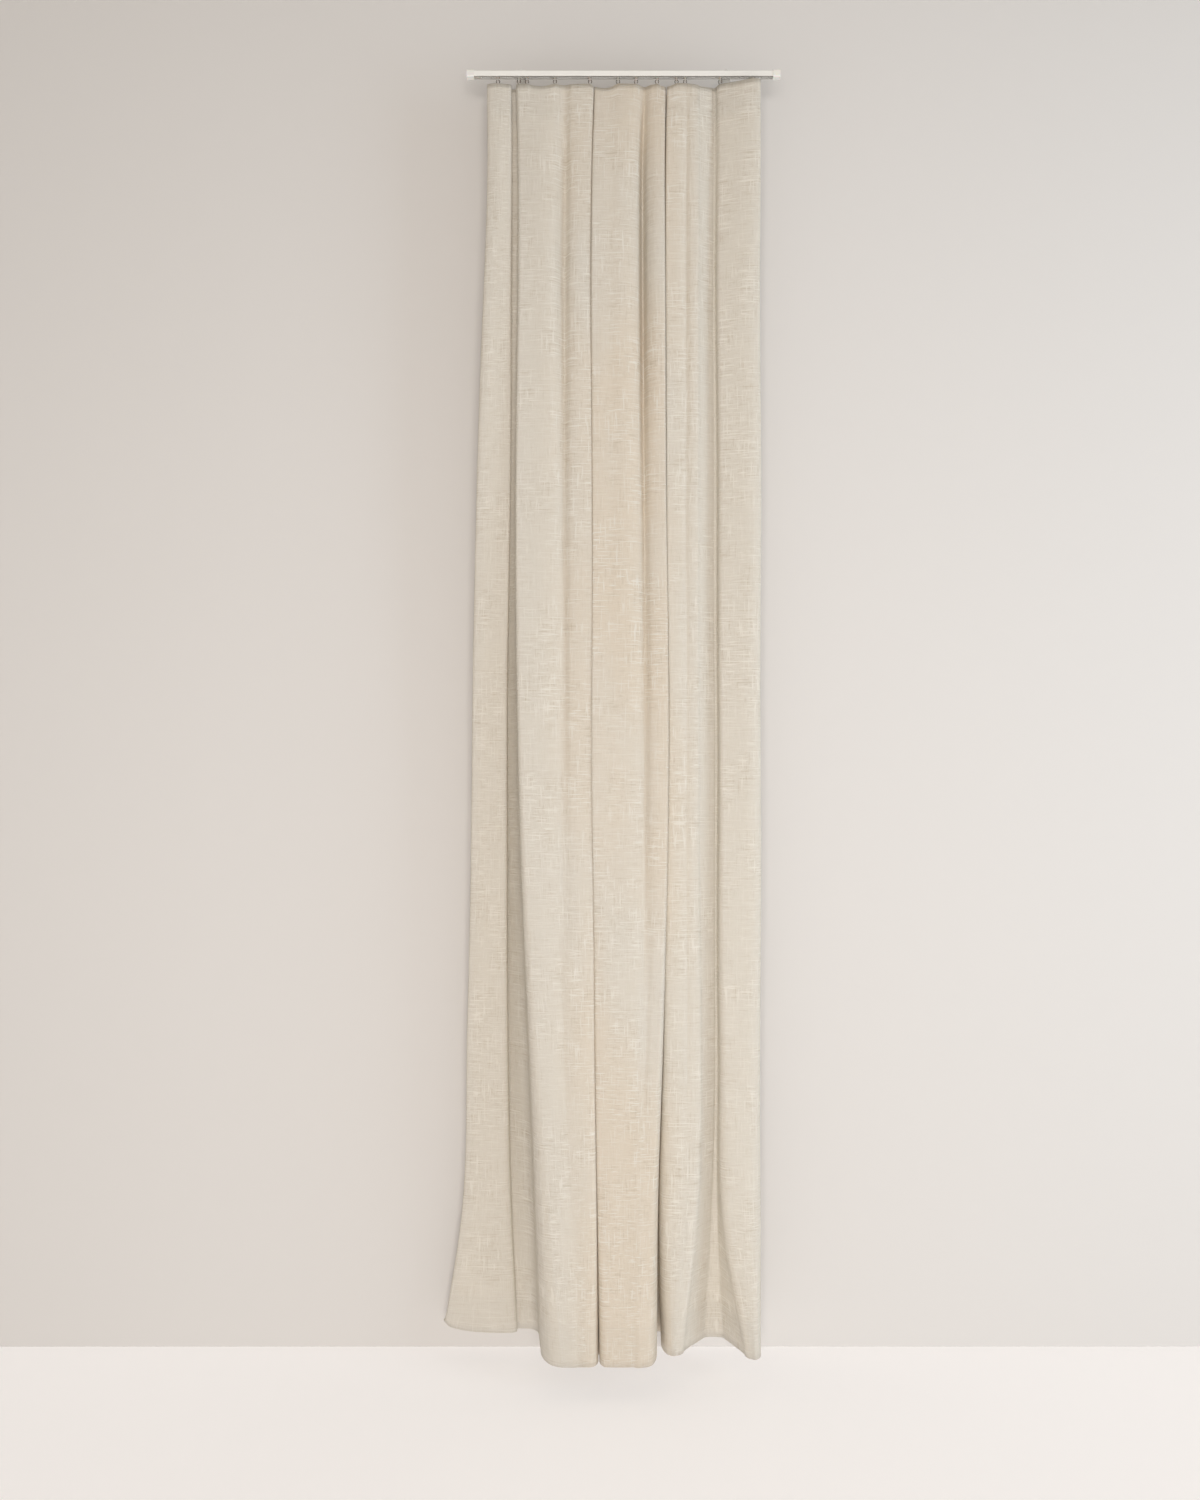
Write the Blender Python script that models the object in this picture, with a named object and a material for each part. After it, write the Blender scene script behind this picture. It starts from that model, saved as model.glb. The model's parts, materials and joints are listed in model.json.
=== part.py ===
"""A fabric room curtain panel, hung from gliders on a short rail that two brackets hold on a wall.

Metres. +X runs along the rail to the right, -Y faces the room and +Z is up. The origin is on
the wall, midway between the two brackets, at the middle height of their wall plates.

The cloth is one panel. It is modelled here as a row of upright fold channels, one hanging from
each hook, alternately in front of and behind the line of hooks, so that they close up on each
other as real folds do when the lead glider draws the curtain along.
"""

import math

import bpy
from mathutils import Matrix

MM = 0.001

# Clearances
TOUCH_GAP = 0.3 * MM  # between pieces that rest on each other
SLIDE_GAP = 0.5 * MM  # around a glider in the rail

# Rail: an extruded section with a glider channel below and a bracket groove above
RAIL_LENGTH = 0.600
RAIL_DEPTH = 12.0 * MM
RAIL_HEIGHT = 11.0 * MM
RAIL_WALL = 1.2 * MM
RAIL_WEB = 1.0 * MM  # between the channel and the groove
RAIL_SLOT = 4.0 * MM  # width of the slot that the glider necks pass through
GROOVE_DEPTH = 1.8 * MM
GROOVE_MOUTH = 6.0 * MM
GROOVE_LIP = 1.0 * MM
RAIL_CORNER = 1.0 * MM
RAIL_FROM_WALL = 0.110  # wall to the middle of the rail

# Wall brackets: bent steel strip with a twist clamp
BRACKET_SPACING = 0.400
STRIP_WIDTH = 20.0 * MM
STRIP_THICKNESS = 2.0 * MM
STRIP_BEND = 4.0 * MM  # outer radius of the bend
PLATE_HEIGHT = 56.0 * MM
ARM_PAST_AXIS = 2.6 * MM  # strip in front of the clamp's axis
RIB_WIDTH = 2.0 * MM
RIB_SPREAD = 14.0 * MM  # between the middles of the two ribs
RIB_REACH = 42.0 * MM
RIB_DROP = 34.0 * MM
CLAMP_STUD = 4.4 * MM
CLAMP_STUD_GAP = 0.3 * MM
CLAMP_FOOT_LENGTH = 9.0 * MM
CLAMP_FOOT_WIDTH = 4.6 * MM
CLAMP_DISC = 6.4 * MM
CLAMP_TAB_LENGTH = 19.0 * MM
CLAMP_TAB_WIDTH = 5.0 * MM
CLAMP_PLATE = 1.2 * MM  # thickness of the foot and of the tab

# Wall screws
SCREW_SHANK = 3.8 * MM
SCREW_LENGTH = 28.0 * MM
SCREW_HEAD = 8.0 * MM
SCREW_HEAD_HEIGHT = 2.4 * MM
SCREW_FACE = 5.4 * MM  # diameter of the head's flat face
SCREW_SHOULDER = 7.4 * MM  # diameter where the head's dome starts
SCREW_DOME = 1.0 * MM  # height of the dome
SCREW_TIP = 4.0 * MM
SCREW_POINT = 0.6 * MM  # diameter left at the tip's end
SCREW_HOLE_GAP = 0.4 * MM
SCREW_SPACING = 30.0 * MM
SCREW_MIDDLE = -5.0 * MM  # height of the middle of the two screws
DRIVE_SLOT = 1.1 * MM

# End caps: sleeves over the rail's ends
CAP_LENGTH = 14.0 * MM
CAP_END_WALL = 3.2 * MM
CAP_WALL = 1.0 * MM
CAP_CORNER = 1.6 * MM

# Gliders, and the two end stops that are clamped in the same channel
GLIDER_LENGTH = 7.0 * MM
GLIDER_HEAD_HEIGHT = 5.0 * MM
NECK_WIDTH = 3.2 * MM
NECK_BELOW_RAIL = 0.8 * MM
LUG_THICKNESS = 2.2 * MM
LUG_WIDTH = 5.4 * MM
LUG_ROOT = 1.6 * MM  # width of the lug inside the neck
EYE_BELOW_RAIL = 4.4 * MM
EYE_BORE = 2.8 * MM
STOP_LENGTH = 12.0 * MM
STOP_FROM_CAP = 0.5 * MM
SET_SCREW = 2.2 * MM
SET_SCREW_LENGTH = 5.4 * MM
SET_SCREW_CHAMFER = 0.2 * MM
SET_SCREW_SLOT_DEPTH = 0.9 * MM
SET_SCREW_OFFSET = 3.6 * MM  # from the middle of the stop

# Hooks: wire rings that run on into a stem and a pin
HOOK_WIRE = 1.5 * MM
HOOK_RING = 3.4 * MM  # radius to the middle of the wire
HOOK_MOUTH = 85.0  # degrees left open in the ring, at its foot
HOOK_NECK = 225.0  # degrees round the ring to where the stem starts
HOOK_STEM = 22.0 * MM
HOOK_PIN = 16.0 * MM
HOOK_BEND = 1.6 * MM  # radius of the turn between the stem and the pin

# Where the hooks hang along the rail, from the lead edge to the fixed end
HOOK_PLACES = (
    -0.2435, -0.2027, -0.1872, -0.1329, -0.0650, -0.0107,
    0.0243, 0.0650, 0.1028, 0.1193, 0.1872, 0.2493,
)

# Cloth
CLOTH_DROP = 2.450
CLOTH_BELOW_RAIL = 13.8 * MM
CLOTH_THICKNESS = 1.0 * MM
LEAD_EDGE = -0.2658  # the panel's left edge at its heading
FIXED_EDGE = 0.2668  # the panel's right edge
HEADING_DEPTH = 3.0 * MM  # how far a fold stands out at its heading
HOOK_SIDE_GAP = 1.2 * MM  # between a fold and the plane of the hooks
SPREAD_TO_HEM = 0.10  # how much wider the folds hang at the hem
HEM_KICK = 0.047  # and how much further they kick out just above it
HEM_KICK_POWER = 10
DEEPEN_POWER = 0.5  # folds deepen fast below the heading, then slowly
# How far each fold stands out at the hem: behind the hooks, in front of them, and so on in turn
HEM_DEPTHS = (0.062, 0.022, 0.082, 0.074, 0.052, 0.075, 0.052, 0.046, 0.046, 0.034, 0.046, 0.046)
FOLD_SQUARENESS = 2.8  # 2 is a half ellipse, and more is squarer

# How finely round shapes are divided
ROUND_SIDES = 20
WIRE_RESOLUTION = 1  # gives the wire six sides
HOOK_RING_STEPS = 11
HOOK_TURN_STEPS = 5
FOLD_ARC_STEPS = 8
FOLD_RINGS = 7
FOLD_RING_POWER = 1.5  # above 1, rings stand closer together near the heading
CORNER_STEPS = 3

# Edges sharper than these stay crisp when the surfaces are shaded smooth
HARD_EDGE = math.radians(35)
CLOTH_EDGE = math.radians(50)

# Places that follow from the sizes above
ARM_UNDERSIDE = PLATE_HEIGHT / 2 - STRIP_THICKNESS
RAIL_TOP = ARM_UNDERSIDE - TOUCH_GAP
RAIL_BOTTOM = RAIL_TOP - RAIL_HEIGHT
CHANNEL_HEIGHT = RAIL_HEIGHT - RAIL_WALL - RAIL_WEB - GROOVE_DEPTH - GROOVE_LIP
CHANNEL_WIDTH = RAIL_DEPTH - 2 * RAIL_WALL
GROOVE_FLOOR = RAIL_WALL + CHANNEL_HEIGHT + RAIL_WEB  # above the rail's underside
HEAD_WIDTH = CHANNEL_WIDTH - 2 * SLIDE_GAP
HEAD_LOW = RAIL_WALL + TOUCH_GAP
RAIL_END = RAIL_LENGTH / 2
STOP_PLACE = RAIL_END + TOUCH_GAP + CAP_END_WALL - CAP_LENGTH - STOP_FROM_CAP - STOP_LENGTH / 2


def clear_scene():
    for thing in list(bpy.data.objects):
        bpy.data.objects.remove(thing)


def surface(name, colour, roughness, metallic=0.0):
    """A plain Principled material."""
    made = bpy.data.materials.new(name)
    made.use_nodes = True
    shader = made.node_tree.nodes["Principled BSDF"]
    shader.inputs["Base Color"].default_value = (*colour, 1.0)
    shader.inputs["Roughness"].default_value = roughness
    shader.inputs["Metallic"].default_value = metallic
    return made


def add_object(name, data, finish=None, parent=None):
    thing = bpy.data.objects.new(name, data)
    bpy.context.scene.collection.objects.link(thing)
    if finish:
        data.materials.clear()
        data.materials.append(finish)
    thing.parent = parent
    return thing


def empty(name, place):
    """A guide that the pieces of one body are placed by."""
    guide = add_object(name, None)
    guide.location = place
    return guide


def mesh_from(name, points, faces):
    mesh = bpy.data.meshes.new(name)
    mesh.from_pydata(points, [], faces)
    mesh.validate()
    return mesh


def prism(name, outline, axis, low, high):
    """A solid from an anticlockwise outline, pushed along an axis.

    The outline's two numbers are (y, z) for axis X, (z, x) for axis Y and (x, y) for axis Z.
    """
    first = "XYZ".index(axis)
    count = len(outline)
    points = []
    for along in (low, high):
        for u, v in outline:
            point = [0.0, 0.0, 0.0]
            point[first] = along
            point[(first + 1) % 3] = u
            point[(first + 2) % 3] = v
            points.append(point)
    faces = [tuple(reversed(range(count))), tuple(range(count, 2 * count))]
    for n in range(count):
        after = (n + 1) % count
        faces.append((n, after, after + count, n + count))
    return add_object(name, mesh_from(name, points, faces))


def arc(centre, radius, start, end, steps):
    """Points on an arc, from start to end in degrees."""
    turns = [math.radians(start + (end - start) * n / steps) for n in range(steps + 1)]
    return [(centre[0] + radius * math.cos(t), centre[1] + radius * math.sin(t)) for t in turns]


def circle(radius, centre=(0.0, 0.0)):
    return arc(centre, radius, 0, 360 - 360 / ROUND_SIDES, ROUND_SIDES - 1)


def rounded_box(half_width, low, high, corner):
    """An outline from -half_width to half_width, and from low to high, with round corners."""
    right, left = half_width - corner, corner - half_width
    bottom, top = low + corner, high - corner
    return (
        arc((right, bottom), corner, -90, 0, CORNER_STEPS)
        + arc((right, top), corner, 0, 90, CORNER_STEPS)
        + arc((left, top), corner, 90, 180, CORNER_STEPS)
        + arc((left, bottom), corner, 180, 270, CORNER_STEPS)
    )


def combine(base, tool, operation):
    """Join one solid to another, or cut it away, and drop the tool."""
    step = base.modifiers.new(operation, "BOOLEAN")
    step.operation = operation
    step.solver = "EXACT"
    step.object = tool
    graph = bpy.context.evaluated_depsgraph_get()
    mesh = bpy.data.meshes.new_from_object(base.evaluated_get(graph))
    base.modifiers.clear()
    base.data = mesh
    bpy.data.objects.remove(tool)
    return base


def finished(base, name, finish, parent=None, place=(0.0, 0.0, 0.0)):
    """Name a solid, give it its material and put it in its place."""
    base.name = name
    base.data.name = name
    base.data.materials.clear()
    base.data.materials.append(finish)
    base.data.set_sharp_from_angle(angle=HARD_EDGE)
    base.parent = parent
    base.location = place
    return base


def turned(name, profile):
    """A solid turned about Y, from (radius, y) points that run towards +Y, closed on the axis."""
    points = [(0.0, profile[0][1], 0.0)]
    for radius, y in profile:
        points += [(radius * math.cos(t), y, radius * math.sin(t)) for t in ring_turns()]
    points.append((0.0, profile[-1][1], 0.0))
    last = len(points) - 1
    faces = []
    for n in range(ROUND_SIDES):
        after = (n + 1) % ROUND_SIDES
        faces.append((0, 1 + n, 1 + after))
        for row in range(len(profile) - 1):
            low = 1 + row * ROUND_SIDES
            high = low + ROUND_SIDES
            faces.append((low + n, high + n, high + after, low + after))
        outer = 1 + (len(profile) - 1) * ROUND_SIDES
        faces.append((last, outer + after, outer + n))
    return add_object(name, mesh_from(name, points, faces))


def ring_turns():
    return [2 * math.pi * n / ROUND_SIDES for n in range(ROUND_SIDES)]


def rail_section():
    """The rail's outline in (y, z), from its underside's middle."""
    wide, inner = RAIL_DEPTH / 2, CHANNEL_WIDTH / 2
    slot, mouth = RAIL_SLOT / 2, GROOVE_MOUTH / 2
    groove_top = GROOVE_FLOOR + GROOVE_DEPTH
    channel_top = RAIL_WALL + CHANNEL_HEIGHT
    right = [(slot, 0.0)]
    right += arc((wide - RAIL_CORNER, RAIL_CORNER), RAIL_CORNER, -90, 0, CORNER_STEPS)
    right += arc((wide - RAIL_CORNER, RAIL_HEIGHT - RAIL_CORNER), RAIL_CORNER, 0, 90, CORNER_STEPS)
    right += [
        (mouth, RAIL_HEIGHT),
        (mouth, groove_top),
        (inner, groove_top),
        (inner, GROOVE_FLOOR),
    ]
    channel = [(inner, channel_top), (inner, RAIL_WALL), (slot, RAIL_WALL)]
    left = [(-y, z) for y, z in reversed(right)]
    return right + left + [(-y, z) for y, z in reversed(channel)] + channel


def make_rail(finish):
    rail = prism("rail", rail_section(), "X", -RAIL_END, RAIL_END)
    finished(rail, "rail", finish, place=(0.0, -RAIL_FROM_WALL, RAIL_BOTTOM))


def make_end_cap(side, name, finish):
    """A sleeve over one end of the rail, closed at its outer side."""
    half = RAIL_DEPTH / 2 + TOUCH_GAP
    low, high = -TOUCH_GAP, RAIL_HEIGHT + TOUCH_GAP
    outer = RAIL_END + TOUCH_GAP + CAP_END_WALL
    inner = outer - CAP_LENGTH
    outline = rounded_box(half + CAP_WALL, low - CAP_WALL, high + CAP_WALL, CAP_CORNER)
    cavity = rounded_box(half, low, high, RAIL_CORNER)
    ends = sorted((side * inner, side * outer))
    cut_ends = sorted((side * (inner - CAP_WALL), side * (RAIL_END + TOUCH_GAP)))
    cap = prism(name, outline, "X", *ends)
    combine(cap, prism("cavity", cavity, "X", *cut_ends), "DIFFERENCE")
    finished(cap, name, finish, place=(0.0, -RAIL_FROM_WALL, RAIL_BOTTOM))


def strip_outline():
    """The bent strip in (y, z): the plate on the wall, the bend and the arm over the rail."""
    bottom, top = -PLATE_HEIGHT / 2, PLATE_HEIGHT / 2
    front = -RAIL_FROM_WALL - ARM_PAST_AXIS
    bend = (-STRIP_BEND, top - STRIP_BEND)
    inner = STRIP_BEND - STRIP_THICKNESS
    return (
        [(-STRIP_THICKNESS, bottom), (0.0, bottom)]
        + arc(bend, STRIP_BEND, 0, 90, 2 * CORNER_STEPS)
        + [(front, top), (front, top - STRIP_THICKNESS)]
        + arc(bend, inner, 90, 0, 2 * CORNER_STEPS)
    )


def add_rib(bracket, place):
    """A gusset between the wall plate and the arm."""
    inside = STRIP_THICKNESS / 2
    corner = (-inside, PLATE_HEIGHT / 2 - inside)
    outline = [
        (corner[0], corner[1] - RIB_DROP),
        corner,
        (corner[0] - RIB_REACH, corner[1]),
    ]
    rib = prism("rib", outline, "X", place - RIB_WIDTH / 2, place + RIB_WIDTH / 2)
    combine(bracket, rib, "UNION")


def screw_heights():
    return (SCREW_MIDDLE + SCREW_SPACING / 2, SCREW_MIDDLE - SCREW_SPACING / 2)


def make_bracket(name, place, finish):
    bracket = prism(name, strip_outline(), "X", -STRIP_WIDTH / 2, STRIP_WIDTH / 2)
    for side in (-1, 1):
        add_rib(bracket, side * RIB_SPREAD / 2)
    for height in screw_heights():
        hole = circle(SCREW_SHANK / 2 + SCREW_HOLE_GAP, (height, 0.0))
        bore = prism("bore", hole, "Y", -2 * STRIP_THICKNESS, STRIP_THICKNESS)
        combine(bracket, bore, "DIFFERENCE")
    hole = circle(CLAMP_STUD / 2 + CLAMP_STUD_GAP, (0.0, -RAIL_FROM_WALL))
    above = PLATE_HEIGHT / 2 + STRIP_THICKNESS
    bore = prism("bore", hole, "Z", ARM_UNDERSIDE - STRIP_THICKNESS, above)
    combine(bracket, bore, "DIFFERENCE")
    finished(bracket, name, finish, place=(place, 0.0, 0.0))


def clamp_foot():
    """The foot's outline: a disc cut down to a bar, which lies across the groove when locked."""
    radius = CLAMP_FOOT_LENGTH / 2
    reach = math.degrees(math.asin(CLAMP_FOOT_WIDTH / CLAMP_FOOT_LENGTH))
    front = arc((0.0, 0.0), radius, -90 - reach, -90 + reach, 2 * CORNER_STEPS)
    back = arc((0.0, 0.0), radius, 90 - reach, 90 + reach, 2 * CORNER_STEPS)
    return front + back


def clamp_tab():
    """The hand tab's outline: a disc over the stud with a bar towards the wall."""
    half, radius = CLAMP_TAB_WIDTH / 2, CLAMP_DISC / 2
    open_angle = math.degrees(math.asin(half / radius))
    disc = arc((0.0, 0.0), radius, 90 + open_angle, 450 - open_angle, ROUND_SIDES)
    tip = arc((0.0, CLAMP_TAB_LENGTH - half), half, 0, 180, 2 * CORNER_STEPS)
    return disc + tip


def make_clamp_lever(name, place, finish):
    """The stud, foot and tab that turn together; the origin is on their axis, under the arm."""
    foot_low = RAIL_BOTTOM + GROOVE_FLOOR + TOUCH_GAP - ARM_UNDERSIDE
    tab_low = STRIP_THICKNESS + TOUCH_GAP
    inside = CLAMP_PLATE / 2
    lever = prism(name, clamp_foot(), "Z", foot_low, foot_low + CLAMP_PLATE)
    stud = prism("stud", circle(CLAMP_STUD / 2), "Z", foot_low + inside, tab_low + inside)
    combine(lever, stud, "UNION")
    tab = prism("tab", clamp_tab(), "Z", tab_low, tab_low + CLAMP_PLATE)
    combine(lever, tab, "UNION")
    finished(lever, name, finish, place=(place, -RAIL_FROM_WALL, ARM_UNDERSIDE))


def cut_drive_slot(screw, outer, depth, length):
    """A screwdriver slot in the end of a screw that faces -Y."""
    half = DRIVE_SLOT / 2
    outline = [(-half, -length), (half, -length), (half, length), (-half, length)]
    slot = prism("slot", outline, "Y", outer - depth, outer + depth)
    combine(screw, slot, "DIFFERENCE")


def make_wall_screw(name, place, height, finish):
    head = -STRIP_THICKNESS - TOUCH_GAP
    face = head - SCREW_HEAD_HEIGHT
    tip = head + SCREW_LENGTH
    shank = SCREW_SHANK / 2
    profile = [
        (SCREW_FACE / 2, face),
        (SCREW_SHOULDER / 2, face + SCREW_DOME),
        (SCREW_HEAD / 2, head),
        (shank, head),
        (shank, tip - SCREW_TIP),
        (SCREW_POINT / 2, tip),
    ]
    screw = turned(name, profile)
    cut_drive_slot(screw, face, SCREW_HEAD_HEIGHT / 2, SCREW_HEAD)
    finished(screw, name, finish, place=(place, 0.0, height))


def runner(name, length):
    """The head that runs in the rail's channel, with its neck, from the rail's underside."""
    head, neck = HEAD_WIDTH / 2, NECK_WIDTH / 2
    head_top = HEAD_LOW + GLIDER_HEAD_HEIGHT
    outline = [
        (-neck, -NECK_BELOW_RAIL),
        (neck, -NECK_BELOW_RAIL),
        (neck, HEAD_LOW),
        (head, HEAD_LOW),
        (head, head_top),
        (-head, head_top),
        (-head, HEAD_LOW),
        (-neck, HEAD_LOW),
    ]
    return prism(name, outline, "X", -length / 2, length / 2)


def add_eye(base):
    """The lug under a runner, with the eye that a hook hangs in."""
    half = LUG_WIDTH / 2
    top = HEAD_LOW / 2
    outline = arc((0.0, -EYE_BELOW_RAIL), half, 180, 360, 3 * CORNER_STEPS)
    outline += [(half, -NECK_BELOW_RAIL), (LUG_ROOT / 2, top), (-LUG_ROOT / 2, top)]
    outline += [(-half, -NECK_BELOW_RAIL)]
    lug = prism("lug", outline, "X", -LUG_THICKNESS / 2, LUG_THICKNESS / 2)
    combine(base, lug, "UNION")
    eye = circle(EYE_BORE / 2, (0.0, -EYE_BELOW_RAIL))
    combine(base, prism("eye", eye, "X", -LUG_THICKNESS, LUG_THICKNESS), "DIFFERENCE")


def glider_mesh():
    """One glider; every glider on the rail shares it."""
    glider = runner("glider", GLIDER_LENGTH)
    add_eye(glider)
    mesh = glider.data
    bpy.data.objects.remove(glider)
    return mesh


def make_end_stop(name, place, finish, with_eye):
    """A stop clamped in the channel by a set screw from below."""
    stop = runner(name, STOP_LENGTH)
    if with_eye:
        add_eye(stop)
    hole = circle(SET_SCREW / 2 + TOUCH_GAP, (SET_SCREW_OFFSET, 0.0))
    bore = prism("bore", hole, "Z", -EYE_BELOW_RAIL, HEAD_LOW + 2 * GLIDER_HEAD_HEIGHT)
    combine(stop, bore, "DIFFERENCE")
    finished(stop, name, finish, place=(place, -RAIL_FROM_WALL, RAIL_BOTTOM))


def make_set_screw(name, place, finish):
    """A headless screw, turned about Y and then stood upright with its slot below."""
    radius = SET_SCREW / 2
    end_radius = radius - SET_SCREW_CHAMFER
    profile = [
        (end_radius, 0.0),
        (radius, SET_SCREW_CHAMFER),
        (radius, SET_SCREW_LENGTH - SET_SCREW_CHAMFER),
        (end_radius, SET_SCREW_LENGTH),
    ]
    screw = turned(name, profile)
    cut_drive_slot(screw, 0.0, SET_SCREW_SLOT_DEPTH, SET_SCREW)
    screw.data.transform(Matrix.Rotation(math.radians(90), 4, "X"))
    place = (place + SET_SCREW_OFFSET, -RAIL_FROM_WALL, RAIL_BOTTOM - NECK_BELOW_RAIL / 2)
    finished(screw, name, finish, place=place)


def hook_path():
    """The middle of a hook's wire in (x, z), from the ring's mouth to the pin's tip."""
    centre = (0.0, -EYE_BELOW_RAIL - HOOK_RING)
    bottom = centre[1] - HOOK_RING
    mouth_edge = HOOK_NECK + HOOK_MOUTH - 360
    ring = arc(centre, HOOK_RING, mouth_edge, HOOK_NECK, HOOK_RING_STEPS)
    neck_end = (-HOOK_BEND, bottom - HOOK_RING / 2)
    stem_end = bottom - HOOK_STEM
    turn = arc((0.0, stem_end), HOOK_BEND, 180, 360, HOOK_TURN_STEPS)
    pin_tip = (HOOK_BEND, stem_end + HOOK_PIN)
    return [*ring, neck_end, *turn, pin_tip]


def hook_data():
    """One hook; every hook shares it."""
    curve = bpy.data.curves.new("hook", "CURVE")
    curve.dimensions = "3D"
    curve.bevel_depth = HOOK_WIRE / 2
    curve.bevel_resolution = WIRE_RESOLUTION
    curve.use_fill_caps = True
    path = hook_path()
    spline = curve.splines.new("POLY")
    spline.points.add(len(path) - 1)
    for point, (x, z) in zip(spline.points, path, strict=True):
        point.co = (x, 0.0, z, 1.0)
    return curve


def spread(fraction):
    """How much wider the folds hang at a fraction of the drop than at the heading."""
    return 1 + SPREAD_TO_HEM * fraction + HEM_KICK * fraction**HEM_KICK_POWER


def fold_bounds(number):
    """A fold's left and right limits at the heading: halfway to the hooks on either side."""
    left = LEAD_EDGE
    right = FIXED_EDGE
    if number > 0:
        left = (HOOK_PLACES[number - 1] + HOOK_PLACES[number]) / 2
    if number < len(HOOK_PLACES) - 1:
        right = (HOOK_PLACES[number] + HOOK_PLACES[number + 1]) / 2
    return left, right


def fold_arch(half_width, depth, steps):
    """A squared half ellipse from (half_width, 0) over (0, depth) to (-half_width, 0)."""
    points = []
    for n in range(steps + 1):
        turn = math.pi * n / steps
        across = abs(math.cos(turn)) ** (2 / FOLD_SQUARENESS)
        out = abs(math.sin(turn)) ** (2 / FOLD_SQUARENESS)
        points.append((math.copysign(across, math.cos(turn)) * half_width, out * depth))
    points[0], points[-1] = (half_width, 0.0), (-half_width, 0.0)
    return points


def fold_ring(number, side, fraction):
    """A fold's closed outline at a fraction of the drop: its outer face, then its inner face back."""
    left, right = fold_bounds(number)
    low = FIXED_EDGE - (FIXED_EDGE - left) * spread(fraction) - HOOK_PLACES[number]
    high = FIXED_EDGE - (FIXED_EDGE - right) * spread(fraction) - HOOK_PLACES[number]
    middle, half = (low + high) / 2, (high - low) / 2
    deepening = (HEM_DEPTHS[number] - HEADING_DEPTH) * fraction**DEEPEN_POWER
    depth = HEADING_DEPTH + deepening
    outer = fold_arch(half, depth, FOLD_ARC_STEPS)
    inner = fold_arch(half - CLOTH_THICKNESS, depth - CLOTH_THICKNESS, FOLD_ARC_STEPS)
    z = -CLOTH_BELOW_RAIL - CLOTH_DROP * fraction
    return [(middle + x, side * (HOOK_SIDE_GAP + out), z) for x, out in outer + inner[::-1]]


def fold_faces():
    """The faces that join a fold's outlines, and close it at the heading and at the hem."""
    count = 2 * (FOLD_ARC_STEPS + 1)
    faces = []
    for ring in range(FOLD_RINGS):
        top, below = ring * count, (ring + 1) * count
        for n in range(count):
            after = (n + 1) % count
            faces.append((top + n, below + n, below + after, top + after))
    last = FOLD_RINGS * count
    for n in range(FOLD_ARC_STEPS):
        faces.append((n, n + 1, count - 2 - n, count - 1 - n))
        faces.append((last + count - 1 - n, last + count - 2 - n, last + n + 1, last + n))
    return faces


def fold_mesh(number):
    """A fold channel, open towards the plane of the hooks, from its glider's place."""
    side = 1 if number % 2 == 0 else -1  # +1 hangs behind the hooks, -1 in front of them
    points = []
    for ring in range(FOLD_RINGS + 1):
        points += fold_ring(number, side, (ring / FOLD_RINGS) ** FOLD_RING_POWER)
    faces = fold_faces()
    if side < 0:
        faces = [face[::-1] for face in faces]
    return mesh_from(f"fold_{number + 1:02d}", points, faces)


def make_hangings(plastic, wire, cloth):
    """Each glider with its hook and its fold of cloth; the last hook hangs in the end stop."""
    glider_shape = glider_mesh()
    glider_shape.set_sharp_from_angle(angle=HARD_EDGE)
    hook_shape = hook_data()
    for number, place in enumerate(HOOK_PLACES):
        label = f"{number + 1:02d}"
        carriage = empty(f"carriage_{label}", (place, -RAIL_FROM_WALL, RAIL_BOTTOM))
        if number < len(HOOK_PLACES) - 1:
            add_object(f"glider_{label}", glider_shape, plastic, carriage)
        add_object(f"hook_{label}", hook_shape, wire, carriage)
        fold = add_object(f"cloth_fold_{label}", fold_mesh(number), cloth, carriage)
        fold.data.shade_smooth()
        fold.data.set_sharp_from_angle(angle=CLOTH_EDGE)


def main():
    clear_scene()
    rail_white = surface("rail_white", (0.86, 0.85, 0.81), 0.35)
    cap_white = surface("cap_white", (0.84, 0.83, 0.80), 0.45)
    glider_white = surface("glider_white", (0.78, 0.77, 0.73), 0.40)
    hook_wire = surface("hook_wire", (0.74, 0.72, 0.67), 0.30)
    steel = surface("bracket_steel", (0.80, 0.79, 0.76), 0.40)
    screw_zinc = surface("screw_zinc", (0.62, 0.62, 0.60), 0.30, 1.0)
    linen = surface("curtain_linen", (0.62, 0.56, 0.46), 0.90)

    make_rail(rail_white)
    for side, word in ((-1, "left"), (1, "right")):
        make_end_cap(side, f"end_cap_{word}", cap_white)
        place = side * BRACKET_SPACING / 2
        make_bracket(f"wall_bracket_{word}", place, steel)
        make_clamp_lever(f"clamp_lever_{word}", place, steel)
        for height, level in zip(screw_heights(), ("upper", "lower"), strict=True):
            make_wall_screw(f"wall_screw_{word}_{level}", place, height, screw_zinc)
    stops = (("left", -STOP_PLACE, False), ("right", HOOK_PLACES[-1], True))
    for word, place, with_eye in stops:
        make_end_stop(f"end_stop_{word}", place, glider_white, with_eye)
        make_set_screw(f"set_screw_{word}", place, screw_zinc)
    make_hangings(glider_white, hook_wire, linen)


main()
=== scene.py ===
"""Looks for the linen curtain panel: one gathered sheet with its hems and heading tape, and finishes for
the rail, gliders, hooks, brackets and screws.

Metres, in the frame's axes: +X along the rail, -Y into the room, +Z up, the wall at y = 0.
"""

import json
import math

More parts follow.
